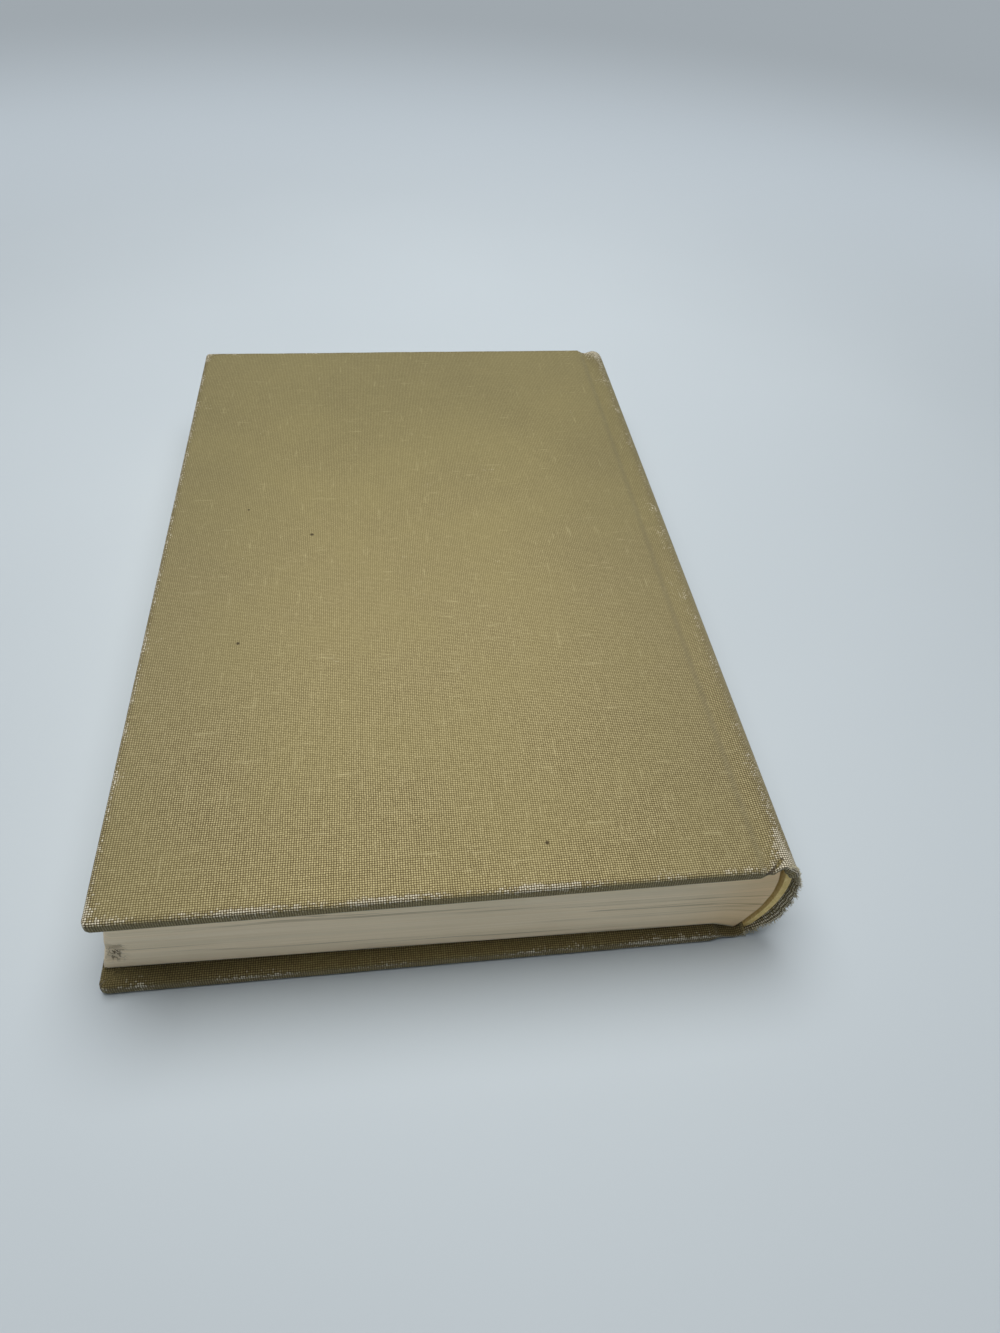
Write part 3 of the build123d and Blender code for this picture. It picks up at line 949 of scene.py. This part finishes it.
def wrap_board_edges(bm, side, roots, layers):
    """Extrudes the cloth round the head, tail and fore-edge in small steps and on to the inside."""
    edges = [e for e in bm.edges if is_wrapped(e, roots)]
    for out, rounds, wall in edge_steps:
        edges, verts = extruded(bm, edges)
        before = dict(roots)
        for vert in verts:
            below = next(e.other_vert(vert) for e in vert.link_edges if e.other_vert(vert) in before)
            root = before[below]
            roots[vert] = root
            column = root.column
            depth = wrap_depth(column, rounds, wall)
            reach = min(out, edge_radius * column.depth / side.cover_thickness + 0.2)
            x = column.x - reach * root.at_fore
            y = root.y + reach * root.end
            if out > 0:
                x, y = rounded_corner(side, x, y)
            else:
                x = max(x, side.fore_x + edge_radius - out)
                inner_end = case_head - edge_radius + out
                y = max(-inner_end, min(inner_end, y)) if root.at_fore else y
            bump = fold_waviness * ripple(x, y, depth * 3, 6)
            skin = Vector((x, y, column.z)) + column.out * root.lift
            vert.co = above_table(skin + column.inward * (depth + bump))
            step = (vert.co - below.co).length
            run, length, _ = below[layers.place]
            sideways = -step * side.outward if root.at_fore and not root.end else 0.0
            vert[layers.place] = (run + sideways, length + step * root.end, 0)
            down = depth / column.depth
            outer_fold = between(1.0, 0.3, smooth((down - 0.1) / 0.25))
            inner_fold = inner_rub[side.name] * smooth((down - 0.45) / 0.35)
            inner_fold *= between(1.0, 0.3, smooth(rounds - 1))
            fade = max(outer_fold, inner_fold) * faded(max(0.0, -out), 0.4)
            vert[layers.wear] = edge_wear(side, x, y, column.spine) * fade
            # turn-ins, and part of the lower cover's edge wall, drawn darker: unfaded cloth and painted shade
            # there
            unfaded_and_shade = smooth(rounds - (0.5 if side.outward > 0 else 0.3))
            vert[layers.inside] = unfaded_and_shade * (1 - 0.8 * column.spine)
            vert[layers.edge_shade] = root.edge_shade
    bmesh.ops.remove_doubles(bm, verts=bm.verts, dist=0.001)


def thread_end(bm, tip_layer, root, direction, length, radius, rng):
    """One broken thread: a thin tapered tube that bends a little."""
    ring = bmesh.ops.create_circle(bm, segments=5, radius=radius)["verts"]
    turn = direction.to_track_quat("Z", "Y").to_matrix().to_4x4()
    bmesh.ops.transform(bm, matrix=Matrix.Translation(root) @ turn, verts=ring)
    edges = list({e for v in ring for e in v.link_edges})
    heading = direction.normalized()
    sideways = Vector((rng.uniform(-1, 1), rng.uniform(-1, 1), rng.uniform(-1, 1)))
    steps = 4
    for i in range(1, steps + 1):
        edges, verts = extruded(bm, edges)
        heading = (heading + sideways * 0.22).normalized()
        bmesh.ops.translate(bm, vec=heading * (length / steps), verts=verts)
        centre = sum((v.co for v in verts), Vector()) / len(verts)
        for vert in verts:
            vert.co = above_table(centre + (vert.co - centre) * 0.8)
            vert[tip_layer] = i / steps
    bmesh.ops.edgeloop_fill(bm, edges=edges)


def make_frayed_threads():
    """Broken thread ends round the worn tail of the spine."""
    rng = random.Random(thread_seed)
    bm = bmesh.new()
    tip_layer = bm.verts.layers.float.new("tip")
    for side, count in ((back_side, back_threads), (front_side, front_threads)):
        columns = [c for c in half_section(side) if c.spine > 0.5]
        for _ in range(count):
            spot = rng.uniform(0, len(columns) - 1.001)
            column = columns[int(spot)]
            after = columns[int(spot) + 1]
            worn, flare = frayed_end(column)
            out = column.out
            place = Vector((column.x, 0, column.z)).lerp(Vector((after.x, 0, after.z)), spot % 1)
            place += out * (flare - rng.uniform(0.0, 0.4))
            place.y = case_tail + edge_radius + worn + rng.uniform(0.2, 0.7)
            along = Vector((0, -1, 0)) + out * rng.uniform(-0.1, 0.5)
            along += Vector((rng.uniform(-0.4, 0.4), 0, rng.uniform(-0.4, 0.4)))
            length = rng.uniform(*thread_length)
            radius = rng.uniform(*thread_radius)
            thread_end(bm, tip_layer, place, along, length, radius, rng)
    piece = finish_piece(bm, "frayed_tail_threads", broken_threads)
    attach(piece, "page_block")


# Leaves and papers


def back_angle(level):
    """Angle on the back's arc of the leaf at a level from 0 (lowest) to 1."""
    return math.radians(between(back_bottom_angle, back_top_angle, level))


def back_x(level):
    """Spine edge x of the leaf at a level."""
    return back_arc_x + back_radius * math.cos(back_angle(level))


def leaf_edges(level):
    """Fore-edge x, spine x, spine z and flat z of the leaf at a level."""
    flat_z = between(leaf_bottom, leaf_top, level)
    spine_z = back_arc_z + back_radius * math.sin(back_angle(level))
    hollow = fore_hollow * (1 - (2 * level - 1) ** 2)
    fore_x = between(front_side.fore_x, back_side.fore_x, level) + fore_square + hollow
    return fore_x, back_x(level), spine_z, flat_z


def dented_corner(level, x, y):
    """Distances of a leaf's point from its fore-edge and tail, after knocks to that corner."""
    radius = dent_radius * smooth((level - 0.05) / 0.2) * smooth((1.0 - level) / 0.15)
    if radius == 0 or x > radius or y > radius:
        return x, y
    eased = eased_corner(Vector((x - radius, y - radius)))
    return radius + eased.x, radius + eased.y


def make_page_block():
    """All leaves as one block, with slightly uneven trimmed edges and one bruised corner."""
    bm = bmesh.new()
    place_layer = bm.verts.layers.float_vector.new("leaf_place")
    bruise_layer = bm.verts.layers.float.new("bruise")
    browned_layer = bm.verts.layers.float.new("browned")
    bmesh.ops.create_cube(bm, size=2.0)
    for axis, cuts in enumerate(leaf_cuts):
        edges = [e for e in bm.edges if abs(e.verts[0].co[axis] - e.verts[1].co[axis]) > 0.001]
        bmesh.ops.subdivide_edges(bm, edges=edges, cuts=cuts, use_grid_fill=True)
    for vert in bm.verts:
        across, along, level = ((c + 1) / 2 for c in vert.co)
        at_fore = across < 0.001
        at_end = -1 if along < 0.001 else 1 if along > 0.999 else 0
        across = between(across, smooth(across), 0.7)
        along = between(along, smooth(along), 0.85)
        fore_x, spine_x, spine_z, flat_z = leaf_edges(level)
        x = between(fore_x, spine_x, across)
        foot_x = between(front_side.edge_x, back_side.edge_x, level) + shoulder_foot
        rise = max(0.0, (x - foot_x) / (spine_x - foot_x))
        z = between(flat_z, spine_z, rise**1.3)
        tail_y = block_low.y + (back_x(1) - x) * math.tan(math.radians(tail_skew))
        y = between(tail_y, block_high.y, along)
        thickness = level * (leaf_top - leaf_bottom)
        vert[place_layer] = (x - y, thickness, 0)
        from_fore, from_tail = dented_corner(level, x - fore_x, y - tail_y)
        near_corner = faded(from_tail + from_fore, 12)
        bruise = hump(from_fore - bruise_from_fore, 1.6) * hump(from_tail, 1.5)
        bruise *= smooth((level - 0.08) / 0.08) * smooth((0.46 - level) / 0.08)
        crush = bruise_depth * bruise * (1.0 + ripple(x * 3, y * 3, thickness * 4, 3))
        slipped = leaf_slip * smooth((0.8 - level) / 0.5) * near_corner
        uneven = trim_waviness * ripple(x, 0, thickness * 9, 26)
        uneven += trim_roughness * ripple(x, 3, thickness * 30, 30)
        fore_uneven = fore_waviness * ripple(y, 5, thickness * 12, 30)
        vert[bruise_layer] = bruise
        vert[browned_layer] = hump(spine_x - x, browned_reach)
        x = fore_x + from_fore + at_fore * fore_uneven - slipped
        y = tail_y + from_tail + at_end * uneven + crush
        vert.co = Vector((x, y, z))
    piece = finish_piece(bm, "page_block_leaves", page_edges, sharp_angle=40)
    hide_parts("text_block")
    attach(piece, "page_block")


def pastedown_depth(side, x, y):
    """Depth of a pastedown's face below the cover's: over turn-ins, in the well and over the mull."""
    well_depth = side.cover_thickness - cloth_thickness + paper_thickness
    inside = min(x - side.fore_x - turn_in, case_head - turn_in - abs(y))
    depth = between(side.cover_thickness + paper_thickness, well_depth, smooth(inside / 1.2 + 0.5))
    flap = min(x - (side.edge_x - edge_roll - mull_flap), block_high.y - mull_margin - abs(y))
    return depth + mull_thickness * smooth(flap / 1.2 + 0.5)


def make_pastedown(side):
    """Glued half of an endpaper and the strip of it that crosses the inner joint."""
    end_x = side.hinge_x + paper_blend_reach
    xs = crowded(side.fore_x + pastedown_margin, end_x, paper_step, step_lines, inner_joint_lines)
    end_y = case_head - pastedown_margin
    ys = crowded(case_tail + pastedown_margin, end_y, paper_step, step_lines, step_lines)
    foot_x = side.edge_x + shoulder_foot
    level = 1 if side.outward > 0 else 0
    _, tip_x, tip_z, face_z = leaf_edges(level)
    bm = bmesh.new()
    bmesh.ops.create_grid(bm, x_segments=len(xs) - 1, y_segments=len(ys) - 1, size=1.0)
    for vert in bm.verts:
        x = xs[round((vert.co.x + 1) / 2 * (len(xs) - 1))]
        y = ys[round((vert.co.y + 1) / 2 * (len(ys) - 1))]
        level_z = side.face_z - side.outward * pastedown_depth(side, min(x, side.edge_x), y)
        share = max(0.0, (x - foot_x) / (tip_x - foot_x))
        ramp_z = between(face_z, tip_z, share) + side.outward * joint_strip_lift
        z = between(level_z, ramp_z, smooth((x - side.edge_x + edge_roll) / (edge_roll + shoulder_foot)))
        vert.co = (x, y, z + side.outward * paper_waviness * ripple(x, y, 0, 8))
    if side.outward > 0:
        bmesh.ops.reverse_faces(bm, faces=bm.faces)
    piece = finish_piece(bm, f"{side.name}_pastedown_sheet", endpaper)
    add_wall(piece, paper_thickness)
    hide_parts(f"{side.name}_pastedown")
    bend_at_joint(piece)


def dress_cad_nodes():
    """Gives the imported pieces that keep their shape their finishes."""
    finishes = {
        "back_board": grey_board,
        "front_board": grey_board,
        "back_free_endpaper": endpaper,
        "front_free_endpaper": endpaper,
        "back_mull_flap": gauze,
        "front_mull_flap": gauze,
        "spine_mull": gauze,
        "spine_lining": brown_paper,
        "spine_inlay": spine_card,
    }
    for node, material in finishes.items():
        mesh = frame["nodes"][node].data
        mesh.materials.clear()
        mesh.materials.append(material)


for cover in (back_side, front_side):
    make_case_half(cover)
    make_pastedown(cover)
make_page_block()
make_frayed_threads()
dress_cad_nodes()


# Floor, light and camera


def make_floor():
    """Pale sheet under the book that sweeps up far behind it."""
    bm = bmesh.new()
    bmesh.ops.create_grid(bm, x_segments=2, y_segments=40, size=1.0)
    for vert in bm.verts:
        along = (vert.co.y + 1) / 2
        y = between(floor_front, floor_back, along)
        swept = max(0.0, y - sweep_start)
        z = swept * swept / sweep_length - floor_gap
        vert.co = Vector((vert.co.x * floor_half_width, y, z))
    floor = finish_piece(bm, "pale_floor", make_floor_material())


def make_lamp(name, place, target, size, power):
    """Round soft lamp, placed and aimed in metres."""
    lamp_data = bpy.data.lights.new(name, "AREA")
    lamp_data.shape = "DISK"
    lamp_data.size = size
    lamp_data.energy = power
    lamp_data.color = lamp_tint
    lamp = bpy.data.objects.new(name, lamp_data)
    lamp.location = place
    lamp.rotation_euler = (Vector(target) - Vector(place)).to_track_quat("-Z", "Y").to_euler()
    scene.collection.objects.link(lamp)


def make_world():
    """Dim room that is palest near the horizon, as round a white tent."""
    world = bpy.data.worlds.new("soft_room")
    world.use_nodes = True
    tree = world.node_tree
    direction = add_node(tree, "ShaderNodeSeparateXYZ")
    tree.links.new(add_node(tree, "ShaderNodeTexCoord").outputs["Generated"], direction.inputs[0])
    overhead = remap(tree, calc(tree, "ABSOLUTE", direction.outputs["Z"]), 0.05, 0.5)
    sky = blend_colour(tree, overhead, room_glow, room_dark)
    room = blend_colour(tree, seen_ground(tree), sky, far_ground)
    tree.links.new(room, tree.nodes["Background"].inputs["Color"])
    scene.world = world


make_floor()
make_lamp("overhead_softbox", place=(0.0, 0.03, 0.52), target=(0, 0, 0), size=0.54, power=3.6)
make_lamp("backdrop_softbox", place=(0.1, 0.45, 0.75), target=(0.2, 1.5, 0.1), size=0.6, power=4.4)
make_world()

camera_data = bpy.data.cameras.new("photo_camera")
camera_data.lens = camera_lens
camera_data.sensor_width = 36.0
camera = bpy.data.objects.new("photo_camera", camera_data)
camera.location = Vector(camera_place) * MM
camera.rotation_euler = [math.radians(a) for a in camera_turn]
scene.collection.objects.link(camera)
scene.camera = camera

scene.view_settings.view_transform = "Standard"
